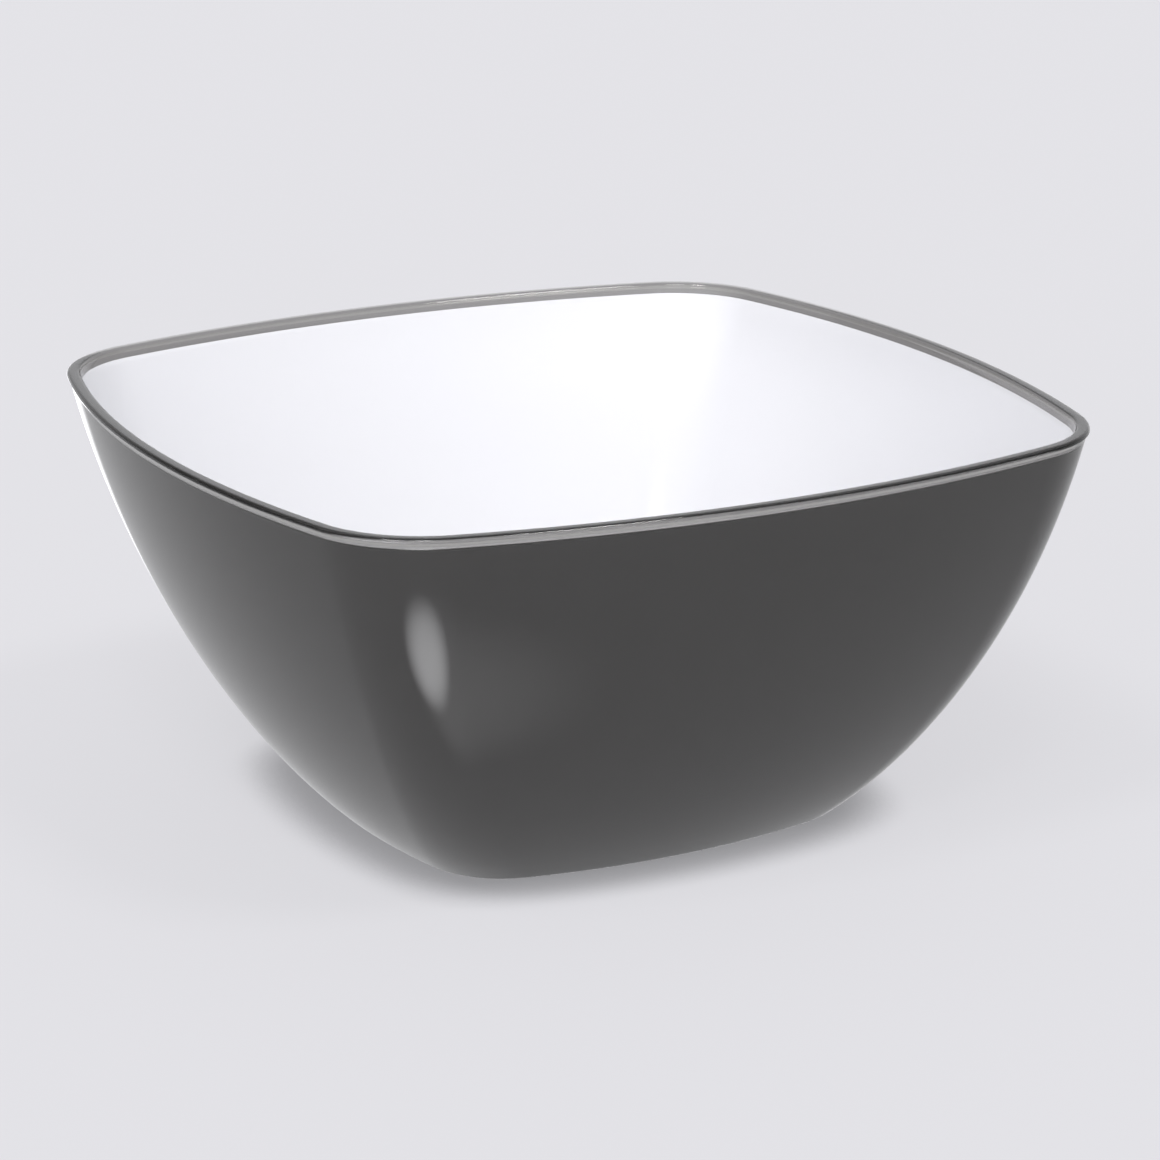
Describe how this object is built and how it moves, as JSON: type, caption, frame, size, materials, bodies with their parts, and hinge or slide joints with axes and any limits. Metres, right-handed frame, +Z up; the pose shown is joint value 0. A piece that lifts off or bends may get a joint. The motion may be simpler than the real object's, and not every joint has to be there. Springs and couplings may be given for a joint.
{
  "type": "serving bowl",
  "caption": "Open rounded-square serving bowl with a flared curved wall and a flat foot: a smoked clear outer shell over an opaque white liner.",
  "frame": {"origin": "centre of the foot, on the surface that the bowl stands on", "axes": "+Z is up through the middle of the mouth; the four sides face +X, +Y, -X and -Y"},
  "size_m": [0.25, 0.25, 0.1155],
  "materials": {
    "outer_shell": "smoked clear plastic, highly polished",
    "inner_liner": "opaque white plastic, glossy and slightly cool"
  },
  "bodies": {
    "root": {"outer_shell": "outer_shell", "inner_liner": "inner_liner"}
  },
  "joints": []
}
